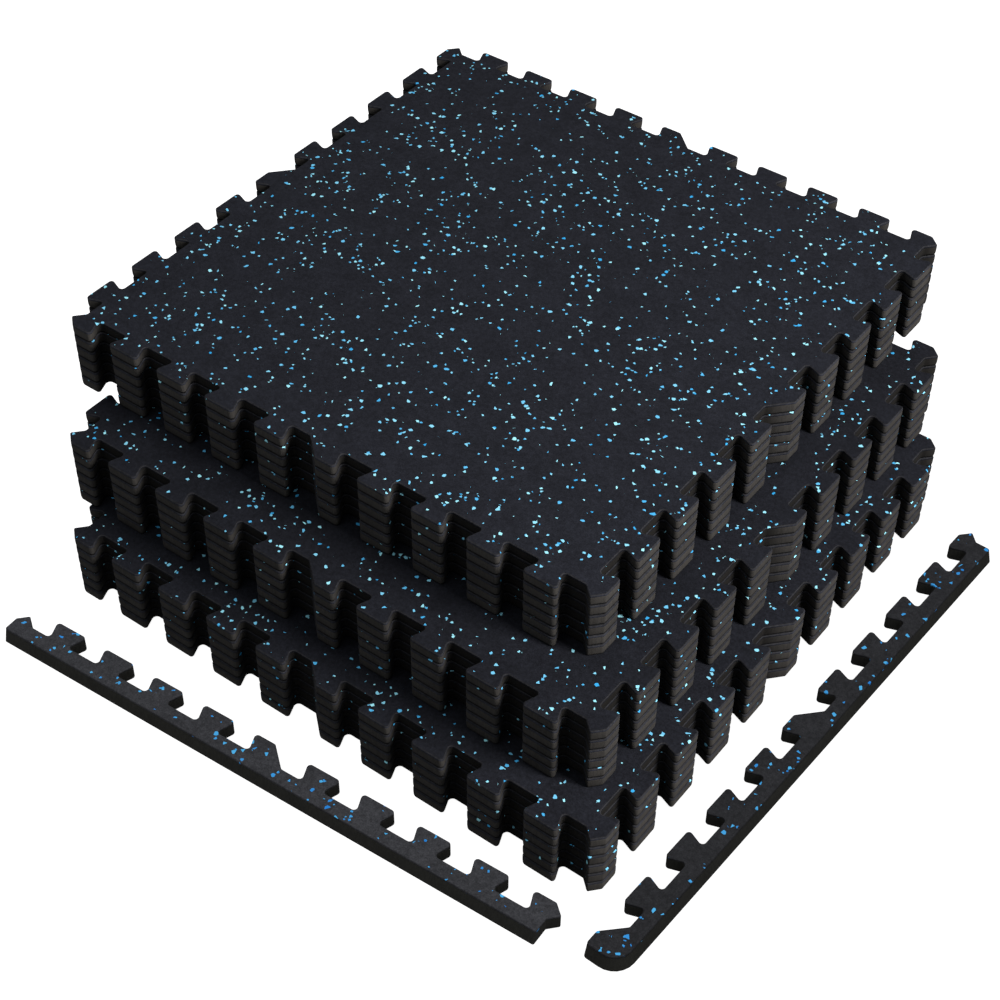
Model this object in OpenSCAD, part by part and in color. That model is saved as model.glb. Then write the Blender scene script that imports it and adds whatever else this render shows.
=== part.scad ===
// Interlocking floor mats of rubber-topped foam, stacked in three bundles of six, with
// one straight and one corner border strip lying on the floor beside the stack.
// The origin is the middle of the lowest mat's underside, on the floor. +Z is up.
// Every mat has the same dovetail edge on all four sides, so any two sides join.

/* [Mat] */
// Distance from one mat's centre to the next when they are joined
mat_size = 609.6; // [500:0.1:900]
// Teeth along each side
teeth_per_side = 10; // [8:2:12]
// Depth of a tooth from its tip to its root
tooth_depth = 19.5; // [17:0.5:21]
// How far each dovetail flank leans out from square, at the tip
flank_lean = 3.8; // [3:0.1:4.5]
// How far a key flank leans, at the middle of each side and at the corners
key_lean = 11; // [9:0.5:12]
// Radius of the rounded tooth corners
tooth_round = 3.5; // [1.5:0.25:3.5]
// Thickness of the foam base
foam_thickness = 10.2; // [6:0.1:20]
// Thickness of the rubber top that is bonded to the foam
rubber_thickness = 2.5; // [1:0.1:5]

/* [Stack] */
// Mats in each bundle
mats_per_bundle = 6; // [1:1:6]
// Sideways step from the lower bundle to the middle one
middle_step_x = -33; // [-60:1:60]
// Backward step from the lower bundle to the middle one
middle_step_y = 42; // [-60:1:80]
// Sideways step from the middle bundle to the upper one
upper_step_x = -50; // [-80:1:80]
// Backward step from the middle bundle to the upper one
upper_step_y = 66; // [-80:1:100]

/* [Border strips] */
// Thickness of a strip's foam base, under the same rubber as the mats'
border_foam_thickness = 13.4; // [6:0.1:20]
// Width of the rail outside the tooth roots, at the top
rail_width = 15; // [8:0.5:30]
// How much wider the rail is at the floor, where its outer face slopes
rail_bevel = 4; // [2:0.5:8]
// Reach of the mitred end past the corner of a mat
mitre_reach = 9.5; // [8:0.5:10]
// Radius of the corner strip's outer corner, at the top
corner_radius = 18; // [10:0.5:22]
// Gap between the stack and the straight strip's tooth roots
straight_gap = 67; // [55:1:150]
// How far the straight strip sits to the right of the middle of its side
straight_right = 4; // [-20:1:20]
// Turn of the straight strip from the stack's front edge
straight_turn = 3; // [-4:0.5:4]
// Gap between the stack and the corner strip's tooth roots
corner_gap = 65; // [60:1:150]
// How far the corner strip sits towards the front from the middle of its side
corner_forward = 26; // [0:1:60]
// Turn of the corner strip from the stack's side edge
corner_turn = -2; // [-4:0.5:2]

/* [Hidden] */
bundles = 3;
// Turns of the outline sharper than this get a rounded corner of two steps
sharp_turn = 60;
sharp_steps = 2;
// Steps that the corner strip's outer corner turns in
corner_faces = 6;
slack = 1;
pitch = mat_size / teeth_per_side;
half_depth = tooth_depth / 2;
thickness = foam_thickness + rubber_thickness;
border_thickness = border_foam_thickness + rubber_thickness;
middle_key = teeth_per_side / 2;
bundle_places = [
    [0, 0],
    [middle_step_x, middle_step_y],
    [middle_step_x + upper_step_x, middle_step_y + upper_step_y]
];
bundle_names = ["lower", "middle", "upper"];
foam_colour = "#2b2a2a";
rubber_colour = "#33343b";

function mat_name(bundle, layer) = str(bundle_names[bundle], "_mat_", layer + 1);
function foam_name(bundle, layer) = str(mat_name(bundle, layer), "_foam_base");
function rubber_name(bundle, layer) = str(mat_name(bundle, layer), "_rubber_top");

// Outline points are [along, out, radius] before they are rounded. They run clockwise.

function flat_part(point) = [point[0], point[1]];
function spin(v, angle) = [
    v[0] * cos(angle) - v[1] * sin(angle),
    v[0] * sin(angle) + v[1] * cos(angle)
];

// The arc that rounds the corner at b, between its neighbours a and c. An inner corner is
// cut straight across, so that it only touches the arc of the outer corner it receives.
function rounded_corner(a, b, c, radius) =
    let (
        to_a = (a - b) / norm(a - b),
        to_c = (c - b) / norm(c - b),
        half_angle = acos(to_a * to_c) / 2,
        turn = 180 - 2 * half_angle,
        inner = cross(b - a, c - b) > 0,
        steps = inner || turn < sharp_turn ? 1 : sharp_steps,
        arc_radius = inner ? radius / (1 + sin(half_angle)) : radius,
        first = b + to_a * arc_radius / tan(half_angle),
        centre = b + (to_a + to_c) / norm(to_a + to_c) * arc_radius / sin(half_angle)
    )
    [for (i = [0 : steps])
        centre + spin(first - centre, (inner ? turn : -turn) * i / steps)
    ];

function rounded(path) =
    let (n = len(path))
    [for (i = [0 : n - 1])
        each rounded_corner(
            flat_part(path[(i + n - 1) % n]),
            flat_part(path[i]),
            flat_part(path[(i + 1) % n]),
            path[i][2]
        )
    ];

// One side of a mat, read clockwise from its corner. Tooth k fills the second half of
// its pitch, and the key flanks lie on the corners and on the middle of the side.
function mat_tooth(k) =
    let (
        near = (k + 0.5) * pitch,
        far = (k + 1) * pitch,
        at_corner = k == teeth_per_side - 1,
        at_key = k == middle_key - 1
    )
    [
        [near + flank_lean, -half_depth, tooth_round],
        [near - flank_lean, half_depth, tooth_round],
        [far + (at_key || at_corner ? -key_lean : flank_lean), half_depth, tooth_round],
        if (!at_corner) [far + (at_key ? key_lean : -flank_lean), -half_depth, tooth_round]
    ];

mat_side = [
    [0, 0, tooth_round / 2],
    [key_lean, -half_depth, tooth_round],
    for (k = [0 : teeth_per_side - 1]) each mat_tooth(k)
];

mat_outline = rounded([
    for (side = [0 : 3])
        for (point = mat_side)
            let (place = spin([point[0], point[1]] + [-mat_size, mat_size] / 2, -90 * side))
            [place[0], place[1], point[2]]
]);

// A border strip, read from the end where its teeth start. Tooth k fills the first half
// of its pitch. Roots are at 0, tips at tooth_depth and the rail is on the other side.
function border_tooth(k) =
    let (
        near = k * pitch,
        far = (k + 0.5) * pitch,
        at_key = k == middle_key
    )
    [
        if (k > 0) [near + (at_key ? -key_lean : flank_lean), 0, tooth_round],
        [near + (k == 0 || at_key ? key_lean : -flank_lean), tooth_depth, tooth_round],
        [far + flank_lean, tooth_depth, tooth_round],
        [far - flank_lean, 0, tooth_round]
    ];

rail_foot = rail_width + rail_bevel;
end_round = tooth_round / 2;
foot_radius = corner_radius + rail_bevel;
// The corner strip runs on past the last tooth, to wrap round the straight strip's end
block_end = mat_size + half_depth + rail_foot;
block_top = half_depth + mitre_reach;

border_start = [
    [mitre_reach, -rail_foot, end_round],
    [mitre_reach, half_depth - mitre_reach, end_round],
    [0, half_depth, end_round],
    for (k = [0 : teeth_per_side - 1]) each border_tooth(k),
    [mat_size - key_lean, 0, tooth_round]
];

straight_outline = rounded([
    each border_start,
    [mat_size, half_depth, end_round],
    [mat_size + mitre_reach, half_depth - mitre_reach, end_round],
    [mat_size + mitre_reach, -rail_foot, end_round]
]);

// The outer corner is cut square here and rounded by the bevel cutter
corner_outline = rounded([
    each border_start,
    [mat_size + mitre_reach, block_top, tooth_round],
    [block_end, block_top, tooth_round],
    [block_end, -rail_foot, end_round]
]);

// What lies outside the sloping outer face: [outward distance from its foot, height]
bevel_section = [
    [-rail_bevel * (1 + slack / border_thickness), border_thickness + slack],
    [rail_bevel * slack / border_thickness, -slack],
    [foot_radius, -slack],
    [foot_radius, border_thickness + slack]
];

// Cuts the sloping face of an edge that faces +X and has its foot at x = 0
module bevel_cutter() {
    rotate([90, 0, 0])
        linear_extrude(3 * mat_size, center = true)
            polygon(bevel_section);
}

// A slice of a straight border strip between two heights
module straight_border_slice(low, high) {
    difference() {
        translate([0, 0, low])
            linear_extrude(high - low)
                polygon(straight_outline);
        translate([0, -rail_foot, 0])
            rotate(-90)
                bevel_cutter();
    }
}

// A slice of a corner border strip between two heights. The cutters turn step by step
// from the long outer face to the block's end face and round the corner between them.
module corner_border_slice(low, high) {
    difference() {
        translate([0, 0, low])
            linear_extrude(high - low)
                polygon(corner_outline);
        for (i = [0 : corner_faces])
            translate([block_end - foot_radius, foot_radius - rail_foot, 0])
                rotate(-90 + 90 * i / corner_faces)
                    translate([foot_radius, 0, 0])
                        bevel_cutter();
    }
}

// Puts a mat where it lies in the stack
module place_mat(bundle, layer) {
    place = bundle_places[bundle];
    level = bundle * mats_per_bundle + layer;
    translate([place[0], place[1], level * thickness])
        children();
}

// Lays the straight strip in front of the stack, teeth towards it
module place_straight_border() {
    translate([straight_right, -mat_size / 2 - straight_gap, 0])
        rotate([0, 0, straight_turn])
            translate([mat_size / 2, 0, 0])
                mirror([1, 0, 0])
                    children();
}

// Lays the corner strip at the stack's right side, teeth towards it
module place_corner_border() {
    translate([mat_size / 2 + corner_gap, -corner_forward, 0])
        rotate([0, 0, corner_turn - 90])
            translate([-mat_size / 2, 0, 0])
                mirror([0, 1, 0])
                    children();
}

module mat_foam_base(bundle, layer) {
    color(foam_colour)
        place_mat(bundle, layer)
            linear_extrude(foam_thickness)
                polygon(mat_outline);
}

module mat_rubber_top(bundle, layer) {
    color(rubber_colour)
        place_mat(bundle, layer)
            translate([0, 0, foam_thickness])
                linear_extrude(rubber_thickness)
                    polygon(mat_outline);
}

module straight_border_foam_base() {
    color(foam_colour)
        place_straight_border()
            straight_border_slice(0, border_foam_thickness);
}

module straight_border_rubber_top() {
    color(rubber_colour)
        place_straight_border()
            straight_border_slice(border_foam_thickness, border_thickness);
}

module corner_border_foam_base() {
    color(foam_colour)
        place_corner_border()
            corner_border_slice(0, border_foam_thickness);
}

module corner_border_rubber_top() {
    color(rubber_colour)
        place_corner_border()
            corner_border_slice(border_foam_thickness, border_thickness);
}

for (bundle = [0 : bundles - 1])
    for (layer = [0 : mats_per_bundle - 1]) {
        mat_foam_base(bundle, layer);
        mat_rubber_top(bundle, layer);
    }
straight_border_foam_base();
straight_border_rubber_top();
corner_border_foam_base();
corner_border_rubber_top();
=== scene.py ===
"""Interlocking floor mats of rubber-topped foam: three bundles of six, and two border strips.

Every mat and strip is a foam slab under a rubber sheet. Both are lofted from the same
dovetail outline, and their colours, chips and grain are made by shader nodes.
"""
import math
import random

import bpy
from mathutils import Matrix, Vector


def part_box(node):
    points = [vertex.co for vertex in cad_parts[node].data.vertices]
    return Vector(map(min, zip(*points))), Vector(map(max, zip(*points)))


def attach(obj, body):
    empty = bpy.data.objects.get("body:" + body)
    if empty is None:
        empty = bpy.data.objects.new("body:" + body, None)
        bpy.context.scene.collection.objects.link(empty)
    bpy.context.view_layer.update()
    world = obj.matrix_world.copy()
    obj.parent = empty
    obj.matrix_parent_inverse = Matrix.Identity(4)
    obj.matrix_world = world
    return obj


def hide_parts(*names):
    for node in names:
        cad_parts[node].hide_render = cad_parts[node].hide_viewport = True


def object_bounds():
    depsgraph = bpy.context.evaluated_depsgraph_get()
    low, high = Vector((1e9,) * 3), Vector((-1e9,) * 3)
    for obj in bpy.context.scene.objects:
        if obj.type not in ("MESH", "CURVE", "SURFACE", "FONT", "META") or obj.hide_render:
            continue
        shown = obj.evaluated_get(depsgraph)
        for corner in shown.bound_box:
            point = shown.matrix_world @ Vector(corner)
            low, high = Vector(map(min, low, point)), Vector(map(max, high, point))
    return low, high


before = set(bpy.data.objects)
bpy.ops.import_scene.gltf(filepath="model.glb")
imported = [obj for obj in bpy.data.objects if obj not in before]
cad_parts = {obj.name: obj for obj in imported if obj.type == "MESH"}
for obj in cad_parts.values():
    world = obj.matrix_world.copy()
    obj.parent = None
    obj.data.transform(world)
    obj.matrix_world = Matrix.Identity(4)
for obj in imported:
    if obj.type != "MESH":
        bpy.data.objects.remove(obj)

cad_box = [list(corner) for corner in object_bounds()]
random.seed(7)

MM = 0.001

# Mats and strips, as in the CAD part
TEETH = 10
TOOTH_DEPTH = 19.5 * MM
FLANK_LEAN = 3.8 * MM
KEY_LEAN = 11 * MM
TOOTH_ROUND = 3.5 * MM
END_ROUND = TOOTH_ROUND / 2
RAIL_WIDTH = 15 * MM
RAIL_BEVEL = 4 * MM
MITRE_REACH = 9.5 * MM
CORNER_RADIUS = 18 * MM
STRAIGHT_TURN = math.radians(3)
CORNER_TURN = math.radians(-2)
BUNDLES = ("lower", "middle", "upper")
MATS_PER_BUNDLE = 6

# Edge profiles: the mats' edges are soft and the strips' edges are crisp
ARC_STEPS = 6
PROFILE_STEPS = 4
GROOVE = 0.25 * MM
GROOVE_HEIGHT = 0.45 * MM
MAT_FOOT = (1.6 * MM, 6.5 * MM)
MAT_RIM = 1.3 * MM
BORDER_FOOT = (0.3 * MM, 0.8 * MM)
BORDER_RIM = 1.1 * MM

# Patterns in the materials: the size of their lumps and marks
CRUMB_SIZE = 1.3 * MM
BLOTCH_SIZE = 3.6 * MM
FINE_GRAIN_SIZE = 0.35 * MM
RUBBER_MOTTLE_SIZE = 28 * MM
CLUSTER_SIZE = 38 * MM
PORE_SIZE = 0.7 * MM
KNIFE_MARK_SIZE = 1.6 * MM
FOAM_MOTTLE_SIZE = 30 * MM
WEAVE_PITCH = 3 * MM

# Small chips next to large ones, the upright stretch of knife marks, and the sheen of all
SMALL_CHIP_SCALE = 0.66
KNIFE_MARK_STRETCH = (1, 1, 0.12)
MATT_SPECULAR = 0.1

# Each body is a little lighter or darker at random; painted light and shade lighten the straight
# strip's rubber and darken the corner strip's, to even out how they are lit
TONE_RANGE = (0.88, 1.12)
STRAIGHT_RUBBER_PAINTED_LIGHT = 1.25
CORNER_RUBBER_PAINTED_SHADE = 0.76

FLOOR_GAP = 0.2 * MM
FLOOR_SIZE = 30
FLOOR_GLOW = 0.95
WORLD_LIGHT = 0.28

# Lamps: places in metres, sides of the square lamps and powers in watts
FRONT_PLACE = (-0.5, -1.6, 2.4)
FRONT_AIM = (0, -0.3, 0)
OVERHEAD_PLACE = (0.35, -0.3, 2.3)
RIGHT_PLACE = (2.51, 0.2, 1.74)
BACK_PLACE = (-2.4, 2.2, 0.7)
FRONT_SIDE = 1.4
OVERHEAD_SIDE = 1.6
RIGHT_SIDE = 1.0
BACK_SIDE = 1.4
FRONT_POWER = 7
OVERHEAD_POWER = 22.5
RIGHT_KEY_POWER = 140
RIGHT_FILL_POWER = 18
BACK_POWER = 24
WHITE = (1.0, 1.0, 1.0)
COOL_WHITE = (0.96, 0.98, 1.0)
WARM_WHITE = (1.0, 0.98, 0.95)
KEY_WHITE = (1.0, 0.95, 0.91)

# Camera
AZIMUTH = math.radians(36.54)
ELEVATION = math.radians(44.13)
ROLL = math.radians(0.61)
DISTANCE = 1.7544
LENS = 72.3
TARGET_X = 0.0931
TARGET_Y = -0.1501


def size_of(node):
    low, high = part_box(node)
    return high - low


MAT_SIZE = size_of("lower_mat_1_foam_base").x - TOOTH_DEPTH
PITCH = MAT_SIZE / TEETH
HALF_DEPTH = TOOTH_DEPTH / 2
BORDER_THICKNESS = size_of("straight_border_foam_base").z + size_of("straight_border_rubber_top").z


# ---------------------------------------------------------------- outlines

def turned(v, angle):
    """A 2-D vector turned anticlockwise."""
    c = math.cos(angle)
    s = math.sin(angle)
    return Vector((v[0] * c - v[1] * s, v[0] * s + v[1] * c))


def rounded_corner(a, b, c, radius):
    """Points and outward normals of the arc that rounds corner b of a clockwise outline."""
    to_a = (a - b).normalized()
    to_c = (c - b).normalized()
    half_angle = to_a.angle(to_c) / 2
    centre = b + (to_a + to_c).normalized() * radius / math.sin(half_angle)
    first = b + to_a * radius / math.tan(half_angle) - centre
    inner = to_a.cross(to_c) < 0
    turn = math.pi - 2 * half_angle
    made = []
    for i in range(ARC_STEPS + 1):
        spoke = turned(first, (turn if inner else -turn) * i / ARC_STEPS)
        outward = spoke.normalized() * (-1 if inner else 1)
        made.append((centre + spoke, outward))
    return made


def rounded(path):
    """A clockwise path of (x, y, radius) as a list of (point, outward normal)."""
    points = [Vector(p[:2]) for p in path]
    made = []
    for i, knot in enumerate(path):
        after = points[(i + 1) % len(path)]
        made += rounded_corner(points[i - 1], points[i], after, knot[2])
    return made


def mat_outline():
    """The mat seen from above, about its centre. Tooth k fills the second half of its pitch."""
    side = [(0, 0, END_ROUND), (KEY_LEAN, -HALF_DEPTH, TOOTH_ROUND)]
    for k in range(TEETH):
        near = (k + 0.5) * PITCH
        far = (k + 1) * PITCH
        key = k == TEETH / 2 - 1
        last = k == TEETH - 1
        side.append((near + FLANK_LEAN, -HALF_DEPTH, TOOTH_ROUND))
        side.append((near - FLANK_LEAN, HALF_DEPTH, TOOTH_ROUND))
        side.append((far + (-KEY_LEAN if key or last else FLANK_LEAN), HALF_DEPTH, TOOTH_ROUND))
        if not last:
            side.append((far + (KEY_LEAN if key else -FLANK_LEAN), -HALF_DEPTH, TOOTH_ROUND))
    path = []
    for quarter in range(4):
        for along, out, radius in side:
            place = turned((along - MAT_SIZE / 2, out + MAT_SIZE / 2), -quarter * math.pi / 2)
            path.append((place.x, place.y, radius))
    return rounded(path)


def border_outline(rail, with_block):
    """A border strip of this rail width. Roots are at y = 0 and tips at y = TOOTH_DEPTH."""
    path = [
        (MITRE_REACH, -rail, END_ROUND),
        (MITRE_REACH, HALF_DEPTH - MITRE_REACH, END_ROUND),
        (0, HALF_DEPTH, END_ROUND),
    ]
    for k in range(TEETH):
        near = k * PITCH
        far = (k + 0.5) * PITCH
        key = k == TEETH / 2
        if k > 0:
            path.append((near + (-KEY_LEAN if key else FLANK_LEAN), 0, TOOTH_ROUND))
        path.append((near + (KEY_LEAN if key or k == 0 else -FLANK_LEAN), TOOTH_DEPTH, TOOTH_ROUND))
        path.append((far + FLANK_LEAN, TOOTH_DEPTH, TOOTH_ROUND))
        path.append((far - FLANK_LEAN, 0, TOOTH_ROUND))
    path.append((MAT_SIZE - KEY_LEAN, 0, TOOTH_ROUND))
    end = MAT_SIZE + MITRE_REACH
    if with_block:
        block_end = MAT_SIZE + HALF_DEPTH + rail
        block_top = HALF_DEPTH + MITRE_REACH
        path.append((end, block_top, TOOTH_ROUND))
        path.append((block_end, block_top, TOOTH_ROUND))
        path.append((block_end, -rail, CORNER_RADIUS + rail - RAIL_WIDTH))
    else:
        path.append((MAT_SIZE, HALF_DEPTH, END_ROUND))
        path.append((end, HALF_DEPTH - MITRE_REACH, END_ROUND))
        path.append((end, -rail, END_ROUND))
    return rounded(path)


# ---------------------------------------------------------------- solids

def foam_profile(height, foot):
    """Rings of the foam slab from its underside up: (inset, height above the underside)."""
    foot_inset, foot_height = foot
    rings = []
    for i in range(PROFILE_STEPS + 1):
        angle = math.pi / 2 * i / PROFILE_STEPS
        rings.append((foot_inset * (1 - math.sin(angle)), foot_height * (1 - math.cos(angle))))
    rings.append((0, height - GROOVE_HEIGHT))
    rings.append((GROOVE, height))
    return rings


def rubber_profile(height, rim_radius):
    """Rings of the rubber sheet from its underside up."""
    rings = [(GROOVE, 0), (0, GROOVE_HEIGHT)]
    for i in range(PROFILE_STEPS + 1):
        angle = math.pi / 2 * i / PROFILE_STEPS
        inset = rim_radius * (1 - math.cos(angle))
        rings.append((inset, height - rim_radius * (1 - math.sin(angle))))
    return rings


def loft_faces(ring_count, count):
    """Side faces between the rings, then the underside and the top."""
    faces = []
    for i in range(ring_count - 1):
        for j in range(count):
            k = (j + 1) % count
            low = i * count
            high = low + count
            faces.append((low + j, high + j, high + k, low + k))
    last = ring_count * count - 1
    faces.append(tuple(range(count)))
    faces.append(tuple(range(last, last - count, -1)))
    return faces


def mark_rings(mesh, profile, roots, root_rings, tone):
    """The values that the materials read: rim at the rounded edge, painted shade in the notches
    at the tooth roots, tone of the whole piece, and for foam painted shade where the layers meet,
    which fades from the underside up its foot."""
    count = len(roots)
    highest = len(profile) - 1
    set_attribute(mesh, "rim", [
        float(highest - 2 <= i < highest) for i in range(len(profile)) for j in range(count)
    ])
    set_attribute(mesh, "root", [
        root * (i < root_rings) for i in range(len(profile)) for root in roots
    ])
    set_attribute(mesh, "tone", [tone] * (len(profile) * count))
    # Painted shade where the layers meet: strongest at the underside, gone at the top of the foot
    seam_top = profile[PROFILE_STEPS][1]
    set_attribute(mesh, "seam_shade", [
        max(0.0, 1 - height / seam_top) for inset, height in profile for j in range(count)
    ])


def loft(name, outline_at, profile, base, place, tone, root_at, root_rings):
    """A closed solid through the profile's rings. outline_at(height) gives each ring's outline,
    and the first root_rings rings get painted shade at the tooth roots."""
    rings = []
    for inset, height in profile:
        ring = []
        for point, outward in outline_at(base + height):
            spot = place @ Vector((point - outward * inset).to_3d())
            spot.z = base + height
            ring.append((spot, (place.to_3x3() @ outward.to_3d()).normalized()))
        rings.append(ring)
    faces = loft_faces(len(rings), len(rings[0]))
    if place.to_3x3().determinant() < 0:
        faces = [face[::-1] for face in faces]
    mesh = bpy.data.meshes.new(name)
    mesh.from_pydata([spot for ring in rings for spot, outward in ring], [], faces)
    mesh.polygons.foreach_set("use_smooth", [True] * len(mesh.polygons))
    mesh.normals_split_custom_set_from_vertices(ring_normals(rings))
    roots = [root_at(point) for point, outward in outline_at(base)]
    mark_rings(mesh, profile, roots, root_rings, tone)
    solid = bpy.data.objects.new(name, mesh)
    bpy.context.scene.collection.objects.link(solid)
    return solid


def mat_root(point):
    """How much painted shade a mat gets in its notches: 0 at its tooth tips and 1 at its roots."""
    out = max(abs(point.x), abs(point.y)) - MAT_SIZE / 2
    return min(1.0, max(0.0, 0.5 - out / TOOTH_DEPTH))


def border_root(point):
    """The strips' open notches get no painted shade."""
    return 0.0


def set_attribute(mesh, name, values):
    """One value per vertex, in the order of the rings."""
    mesh.attributes.new(name, "FLOAT", "POINT").data.foreach_set("value", values)


def ring_normals(rings):
    """Vertex normals that leave flat walls flat and turn round the rims."""
    normals = []
    for i, ring in enumerate(rings):
        for j, (spot, outward) in enumerate(ring):
            if i == 0:
                normals.append((0, 0, -1))
            elif i == len(rings) - 1:
                normals.append((0, 0, 1))
            else:
                along = rings[i + 1][j][0] - rings[i - 1][j][0]
                tilted = outward * along.z - Vector((0, 0, along.dot(outward)))
                normals.append(tilted.normalized())
    return normals


# ---------------------------------------------------------------- materials

class Nodes:
    """A material with a short way to add and link nodes."""

    def __init__(self, name):
        self.material = bpy.data.materials.new(name)
        self.material.use_nodes = True
        self.tree = self.material.node_tree
        self.shader = self.tree.nodes["Principled BSDF"]
        self.coords = self.tree.nodes.new("ShaderNodeTexCoord").outputs["Object"]

    def feed(self, socket, value):
        if isinstance(value, bpy.types.NodeSocket):
            self.tree.links.new(value, socket)
        elif isinstance(value, tuple) and len(value) == 3 and socket.type == "RGBA":
            socket.default_value = (*value, 1)
        else:
            socket.default_value = value

    def add(self, kind, inputs, **settings):
        node = self.tree.nodes.new(kind)
        for key, value in settings.items():
            setattr(node, key, value)
        for key, value in inputs.items():
            self.feed(node.inputs[key], value)
        return node

    def maths(self, operation, a, b=0.0, c=0.0):
        return self.add("ShaderNodeMath", {0: a, 1: b, 2: c}, operation=operation).outputs[0]

    def mix(self, share, a, b):
        node = self.add("ShaderNodeMix", {}, data_type="RGBA")
        self.feed(node.inputs["Factor"], share)
        self.feed(node.inputs[6], a)
        self.feed(node.inputs[7], b)
        return node.outputs[2]

    def noise(self, size, detail=2.0, stretch=(1, 1, 1)):
        """Noise from 0 to 1 whose lumps are about size metres across."""
        spot = self.add("ShaderNodeVectorMath", {0: self.coords, 1: stretch}, operation="MULTIPLY")
        found = self.add(
            "ShaderNodeTexNoise",
            {"Vector": spot.outputs[0], "Scale": 1 / size, "Detail": detail},
        )
        return found.outputs["Factor"] if "Factor" in found.outputs else found.outputs["Fac"]

    def scaled(self, colour, share):
        node = self.add("ShaderNodeVectorMath", {0: colour, 3: share}, operation="SCALE")
        return node.outputs[0]

    def split(self, vector):
        return self.add("ShaderNodeSeparateXYZ", {0: vector}).outputs

    def between(self, value, low, high, to_low=0.0, to_high=1.0):
        node = self.add(
            "ShaderNodeMapRange",
            {"Value": value, "From Min": low, "From Max": high, "To Min": to_low, "To Max": to_high},
        )
        return node.outputs["Result"]

    def cells(self, size):
        """Random colour of each cell of a crushed-stone pattern, as separate channels."""
        found = self.add(
            "ShaderNodeTexVoronoi", {"Vector": self.coords, "Scale": 1 / size, "Randomness": 1.0},
            voronoi_dimensions="3D", feature="F1",
        )
        return self.add("ShaderNodeSeparateColor", {"Color": found.outputs["Color"]}).outputs

    def bump(self, height, distance, strength=1.0, under=None):
        inputs = {"Height": height, "Distance": distance, "Strength": strength}
        if under is not None:
            inputs["Normal"] = under
        return self.add("ShaderNodeBump", inputs).outputs["Normal"]

    def attribute(self, name):
        return self.add("ShaderNodeAttribute", {}, attribute_name=name).outputs["Fac"]


def rubber_material(name, base, rim_highlight, painted_side_light, chip_size, chip_share, chip_dark, chip_light):
    """Matt crumb rubber with angular chips scattered in loose clusters. The side factor is painted
    light and shade that makes the upright faces lighter or darker than the top, and the rounded rim
    gets its own colour, on the mats a lighter one that is a painted highlight."""
    m = Nodes(name)
    crumb = m.noise(CRUMB_SIZE, 2.0)
    mottle = m.noise(RUBBER_MOTTLE_SIZE, 3.0)
    grainy = m.between(crumb, 0.25, 0.75, 0.62, 1.38)
    blotch = m.between(m.noise(BLOTCH_SIZE, 2.0), 0.3, 0.7, 0.78, 1.22)
    shade = m.maths("MULTIPLY", grainy, blotch)
    shade = m.maths("MULTIPLY", shade, m.between(mottle, 0.3, 0.7, 0.86, 1.14))
    # Painted shade in the notches: darker towards the tooth roots
    shade = m.maths("MULTIPLY", shade, m.between(m.attribute("root"), 0.15, 0.85, 1.0, 0.36))
    facing = m.add("ShaderNodeNewGeometry", {}).outputs["Normal"]
    rise = m.split(facing)["Z"]
    # Painted light and shade: upright faces are made lighter or darker than the top
    shade = m.maths("MULTIPLY", shade, m.between(rise, 0.3, 0.95, painted_side_light, 1.0))
    # Painted highlight: the rounded rim takes its own, lighter colour
    ground = m.mix(m.attribute("rim"), base, rim_highlight)
    ground = m.scaled(ground, m.maths("MULTIPLY", shade, m.attribute("tone")))

    cluster = m.noise(CLUSTER_SIZE, 1.0)
    share = m.between(cluster, 0.32, 0.68, 0.3 * chip_share, 1.8 * chip_share)
    share = m.maths("MULTIPLY", share, m.between(rise, 0.1, 0.8, 0.4, 1.0))
    large = m.cells(chip_size)
    small = m.cells(SMALL_CHIP_SCALE * chip_size)
    is_large = m.maths("LESS_THAN", large["Red"], share)
    is_small = m.maths("LESS_THAN", small["Red"], m.maths("MULTIPLY", share, 0.5))
    upward = m.between(rise, 0.1, 0.8, 0.6, 1.0)
    is_chip = m.maths("MULTIPLY", m.maths("MAXIMUM", is_large, is_small), upward)
    tint = m.mix(large["Green"], chip_dark, chip_light)
    colour = m.mix(is_chip, ground, tint)

    grain = m.bump(crumb, 0.12 * MM, 0.6)
    grain = m.bump(m.noise(FINE_GRAIN_SIZE, 1.0), 0.05 * MM, 0.5, grain)
    m.feed(m.shader.inputs["Base Color"], colour)
    m.feed(m.shader.inputs["Roughness"], m.between(crumb, 0.3, 0.7, 0.72, 0.9))
    m.feed(m.shader.inputs["Normal"], grain)
    m.shader.inputs["Specular IOR Level"].default_value = MATT_SPECULAR
    return m.material


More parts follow.
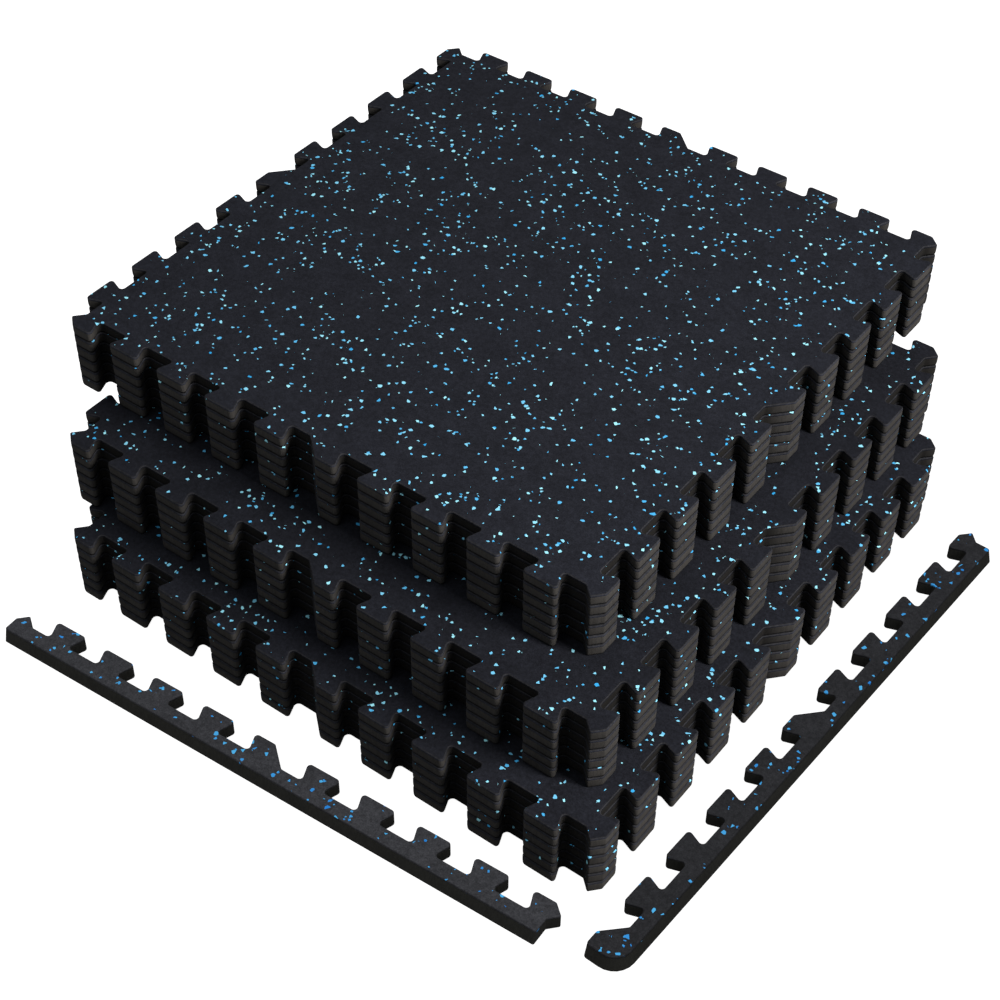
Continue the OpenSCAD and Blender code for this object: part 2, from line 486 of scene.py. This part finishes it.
def foam_material(name, base):
    """Cut closed-cell foam: fine pores, faint upright knife marks and an embossed underside."""
    m = Nodes(name)
    pores = m.noise(PORE_SIZE, 2.0)
    knife = m.noise(KNIFE_MARK_SIZE, 2.0, KNIFE_MARK_STRETCH)
    mottle = m.noise(FOAM_MOTTLE_SIZE, 2.0)
    marks = m.between(knife, 0.3, 0.7, 0.86, 1.14)
    shade = m.maths("MULTIPLY", m.between(pores, 0.25, 0.75, 0.75, 1.25), marks)
    shade = m.maths("MULTIPLY", shade, m.between(mottle, 0.3, 0.7, 0.88, 1.12))
    # Painted shade where the layers meet: the foam darkens to black towards its underside
    shade = m.maths("MULTIPLY", shade, m.between(m.attribute("seam_shade"), 0.6, 0.8, 1.0, 0.0))
    # Painted shade in the notches: darker towards the tooth roots
    shade = m.maths("MULTIPLY", shade, m.between(m.attribute("root"), 0.15, 0.85, 1.0, 0.28))
    colour = m.scaled(base, m.maths("MULTIPLY", shade, m.attribute("tone")))

    facing = m.add("ShaderNodeNewGeometry", {}).outputs["Normal"]
    down = m.maths("LESS_THAN", m.split(facing)["Z"], -0.9)
    spot = m.split(m.coords)
    across = m.maths("SINE", m.maths("MULTIPLY", spot["X"], 2 * math.pi / WEAVE_PITCH))
    along = m.maths("SINE", m.maths("MULTIPLY", spot["Y"], 2 * math.pi / WEAVE_PITCH))
    emboss = m.maths("MULTIPLY", m.maths("MULTIPLY", across, along), down)

    cut = m.bump(pores, 0.15 * MM, 0.7)
    cut = m.bump(knife, 0.2 * MM, 0.5, cut)
    cut = m.bump(emboss, 0.3 * MM, 1.0, cut)
    m.feed(m.shader.inputs["Base Color"], colour)
    m.feed(m.shader.inputs["Roughness"], m.between(pores, 0.3, 0.7, 0.8, 0.98))
    m.feed(m.shader.inputs["Normal"], cut)
    m.shader.inputs["Specular IOR Level"].default_value = MATT_SPECULAR
    return m.material


def floor_material():
    """A white light-table floor that looks brighter to the camera than it is for the mats."""
    m = Nodes("pale_floor")
    m.feed(m.shader.inputs["Base Color"], (0.9, 0.9, 0.9))
    m.shader.inputs["Roughness"].default_value = 0.9
    m.shader.inputs["Specular IOR Level"].default_value = MATT_SPECULAR
    seen = m.add("ShaderNodeLightPath", {}).outputs["Is Camera Ray"]
    m.feed(m.shader.inputs["Emission Color"], (1.0, 1.0, 1.0))
    m.feed(m.shader.inputs["Emission Strength"], m.maths("MULTIPLY", seen, FLOOR_GLOW))
    return m.material


MAT_RUBBER = rubber_material(
    "mat_rubber_look",
    base=(0.0116, 0.0129, 0.0182),
    # rim colour lighter than the base: a painted highlight
    rim_highlight=(0.0180, 0.0185, 0.0210),
    # upright faces brighter than the top: painted light
    painted_side_light=1.8,
    chip_size=2.9 * MM,
    chip_share=0.0155,
    chip_dark=(0.03, 0.38, 0.80),
    chip_light=(0.38, 0.87, 1.00),
)
MAT_FOAM = foam_material("mat_foam_look", (0.0365, 0.0350, 0.0333))
BORDER_RUBBER = rubber_material(
    "border_rubber_look",
    base=(0.0370, 0.0375, 0.0420),
    rim_highlight=(0.0370, 0.0375, 0.0420),
    # upright faces darker than the top: painted shade
    painted_side_light=0.62,
    chip_size=3.3 * MM,
    chip_share=0.022,
    chip_dark=(0.02, 0.25, 0.78),
    chip_light=(0.10, 0.55, 1.0),
)
BORDER_FOAM = foam_material("border_foam_look", (0.0240, 0.0238, 0.0215))


# ---------------------------------------------------------------- pieces

def add_slabs(body, outline_at, place, is_border, rubber_painted_light=1.0):
    """The foam slab and the rubber sheet of one mat or strip."""
    tone = random.uniform(*TONE_RANGE)
    root_at = border_root if is_border else mat_root
    if is_border:
        kind, foot, rim = "border", BORDER_FOOT, BORDER_RIM
        foam, rubber = BORDER_FOAM, BORDER_RUBBER
    else:
        kind, foot, rim = "mat", MAT_FOOT, MAT_RIM
        foam, rubber = MAT_FOAM, MAT_RUBBER
    low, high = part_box(f"{body}_foam_base")
    profile = foam_profile(high.z - low.z, foot)
    slab = loft(
        f"{body}_foam_slab", outline_at, profile, low.z, place, tone, root_at, len(profile)
    )
    slab.data.materials.append(foam)
    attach(slab, body)
    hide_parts(f"{body}_foam_base")
    low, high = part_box(f"{body}_rubber_top")
    profile = rubber_profile(high.z - low.z, rim)
    # The sheet's random tone, times the painted light and shade given to a strip
    sheet_tone_and_light = tone * rubber_painted_light
    shaded = len(profile) - 3
    sheet = loft(
        f"{body}_rubber_sheet", outline_at, profile, low.z, place, sheet_tone_and_light, root_at, shaded
    )
    sheet.data.materials.append(rubber)
    group = STRIPS if is_border else MATS
    group.objects.link(slab)
    group.objects.link(sheet)
    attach(sheet, body)
    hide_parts(f"{body}_rubber_top")


def middle_of(node):
    low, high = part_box(node)
    return (low + high) / 2


def add_mats():
    outline = mat_outline()
    for bundle in BUNDLES:
        for layer in range(1, MATS_PER_BUNDLE + 1):
            body = f"{bundle}_mat_{layer}"
            centre = middle_of(body + "_foam_base")
            place = Matrix.Translation((centre.x, centre.y, 0))
            add_slabs(body, lambda height: outline, place, False)


def add_border(body, with_block, turn, rubber_painted_light):
    """A border strip whose lengthwise direction is turned by this angle from its drawing."""
    def outline_at(height):
        return border_outline(RAIL_WIDTH + RAIL_BEVEL * (1 - height / BORDER_THICKNESS), with_block)

    turning = turn.to_4x4()
    xs = [(turning @ point.to_3d()).x for point, outward in outline_at(0)]
    ys = [(turning @ point.to_3d()).y for point, outward in outline_at(0)]
    centre = middle_of(body + "_foam_base")
    shift = (centre.x - (min(xs) + max(xs)) / 2, centre.y - (min(ys) + max(ys)) / 2, 0)
    add_slabs(body, outline_at, Matrix.Translation(shift) @ turning, True, rubber_painted_light)


MATS = bpy.data.collections.new("mats")
STRIPS = bpy.data.collections.new("strips")
add_mats()
mirror_x = Matrix.Scale(-1, 3, (1, 0, 0))
mirror_y = Matrix.Scale(-1, 3, (0, 1, 0))
straight_turn = Matrix.Rotation(STRAIGHT_TURN, 3, "Z") @ mirror_x
corner_turn = Matrix.Rotation(CORNER_TURN - math.pi / 2, 3, "Z") @ mirror_y
add_border("straight_border", False, straight_turn, STRAIGHT_RUBBER_PAINTED_LIGHT)
add_border("corner_border", True, corner_turn, CORNER_RUBBER_PAINTED_SHADE)


# ---------------------------------------------------------------- floor, light and camera

def add_floor():
    half = FLOOR_SIZE / 2
    mesh = bpy.data.meshes.new("floor")
    corners = [(-half, -half), (half, -half), (half, half), (-half, half)]
    mesh.from_pydata([(x, y, -FLOOR_GAP) for x, y in corners], [], [(0, 1, 2, 3)])
    mesh.materials.append(floor_material())
    floor = bpy.data.objects.new("floor", mesh)
    bpy.context.scene.collection.objects.link(floor)


def add_soft_light(name, place, aim, side, power, colour):
    data = bpy.data.lights.new(name, "AREA")
    data.shape = "RECTANGLE"
    data.size = side
    data.size_y = side
    data.energy = power
    data.color = colour
    lamp = bpy.data.objects.new(name, data)
    lamp.location = place
    lamp.rotation_mode = "QUATERNION"
    lamp.rotation_quaternion = (Vector(place) - Vector(aim)).to_track_quat("Z", "Y")
    bpy.context.scene.collection.objects.link(lamp)
    return lamp


def add_lights():
    """Fills in front and behind, and separate lamps for the mats and for the strips."""
    top = cad_box[1][2]
    middle = (0, 0, top / 2)
    add_soft_light("front_fill", FRONT_PLACE, FRONT_AIM, FRONT_SIDE, FRONT_POWER, WHITE)
    overhead = add_soft_light(
        "overhead", OVERHEAD_PLACE, (0, 0, top), OVERHEAD_SIDE, OVERHEAD_POWER, COOL_WHITE
    )
    overhead.light_linking.receiver_collection = STRIPS
    right_key = add_soft_light(
        "right_key", RIGHT_PLACE, middle, RIGHT_SIDE, RIGHT_KEY_POWER, KEY_WHITE
    )
    right_key.light_linking.receiver_collection = MATS
    right_fill = add_soft_light(
        "right_fill", RIGHT_PLACE, (0, 0, 0), RIGHT_SIDE, RIGHT_FILL_POWER, WARM_WHITE
    )
    right_fill.light_linking.receiver_collection = STRIPS
    back_fill = add_soft_light("back_fill", BACK_PLACE, middle, BACK_SIDE, BACK_POWER, WHITE)
    back_fill.visible_glossy = False


def add_world():
    """White all round, and much brighter to the camera than it is for the mats."""
    world = bpy.data.worlds.new("studio")
    world.use_nodes = True
    background = world.node_tree.nodes["Background"]
    seen = world.node_tree.nodes.new("ShaderNodeLightPath").outputs["Is Camera Ray"]
    strength = world.node_tree.nodes.new("ShaderNodeMath")
    world.node_tree.links.new(seen, strength.inputs[0])
    strength.inputs[1].default_value = WORLD_LIGHT
    world.node_tree.links.new(strength.outputs[0], background.inputs["Strength"])
    background.inputs["Color"].default_value = (1, 1, 1, 1)
    bpy.context.scene.world = world


def add_camera():
    data = bpy.data.cameras.new("camera")
    data.lens = LENS
    camera = bpy.data.objects.new("camera", data)
    back = Vector((
        math.sin(AZIMUTH) * math.cos(ELEVATION),
        -math.cos(AZIMUTH) * math.cos(ELEVATION),
        math.sin(ELEVATION),
    ))
    target = Vector((TARGET_X, TARGET_Y, cad_box[1][2]))
    level = back.to_track_quat("Z", "Y").to_matrix()
    turn = (level @ Matrix.Rotation(ROLL, 3, "Z")).to_4x4()
    camera.matrix_world = Matrix.Translation(target + back * DISTANCE) @ turn
    bpy.context.scene.collection.objects.link(camera)
    bpy.context.scene.camera = camera


add_floor()
add_lights()
add_world()
add_camera()
bpy.context.scene.view_settings.view_transform = "Standard"
